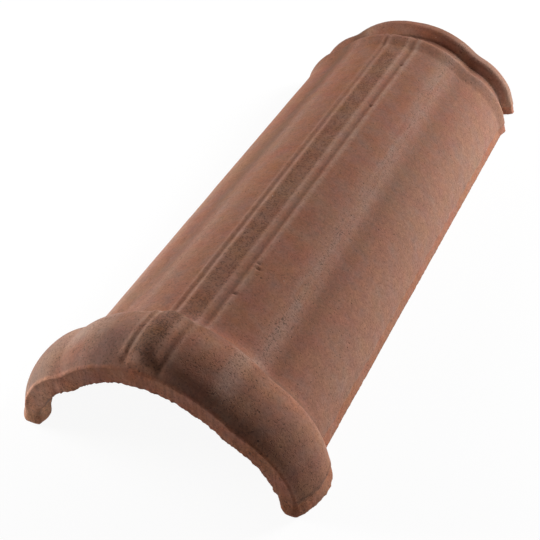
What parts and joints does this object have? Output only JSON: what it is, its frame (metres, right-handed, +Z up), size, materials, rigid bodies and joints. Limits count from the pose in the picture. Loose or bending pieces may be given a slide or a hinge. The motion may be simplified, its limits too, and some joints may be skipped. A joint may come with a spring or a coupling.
{
  "type": "clay ridge tile",
  "caption": "Half-barrel fired clay ridge tile with a rolled collar and strap at one end and a grooved, rimmed head at the other, for capping the ridge of a tiled roof",
  "frame": {"origin": "centre of the tile's plan, on the level plane of the two long edges that it rests on", "axes": "+X across the arch to the right seen from the collar, +Y along the ridge from the collar to the head, +Z up"},
  "size_m": [0.2066, 0.466, 0.0899],
  "materials": {
    "fired_clay": "matt unglazed red-brown fired clay, speckled, with raw orange-red trimmed edges"
  },
  "bodies": {
    "root": {"ridge_tile": "fired_clay"}
  },
  "joints": []
}
